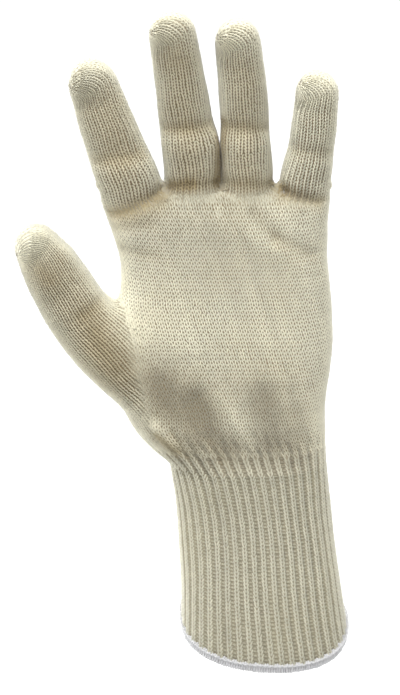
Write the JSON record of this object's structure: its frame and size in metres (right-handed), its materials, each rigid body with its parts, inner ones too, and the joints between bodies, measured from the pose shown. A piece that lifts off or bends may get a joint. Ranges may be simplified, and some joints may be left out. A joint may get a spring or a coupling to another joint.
{
  "type": "glove liner",
  "caption": "Cream knitted glove liner for a left hand in its worn, open form: hollow palm, separate thumb and finger stalls, long rib cuff and white overlocked hem.",
  "frame": {"origin": "middle of the cuff's mouth, in the plane of the hem's lower edge", "axes": "+Z from the mouth up the arm to the fingertips, -Y the way the palm faces, +Y the back of the hand, -X towards the thumb"},
  "size_m": [0.1435, 0.058, 0.2862],
  "materials": {
    "knit_body": "matt cotton string knit, cream",
    "knit_cuff": "matt elastic rib knit, cream",
    "hem_thread": "soft white overlock thread"
  },
  "bodies": {
    "root": {"palm": "knit_body", "thumb_stall": "knit_body", "index_stall": "knit_body", "middle_stall": "knit_body", "ring_stall": "knit_body", "little_stall": "knit_body", "rib_cuff": "knit_cuff", "hem_overlock": "hem_thread"}
  },
  "joints": []
}
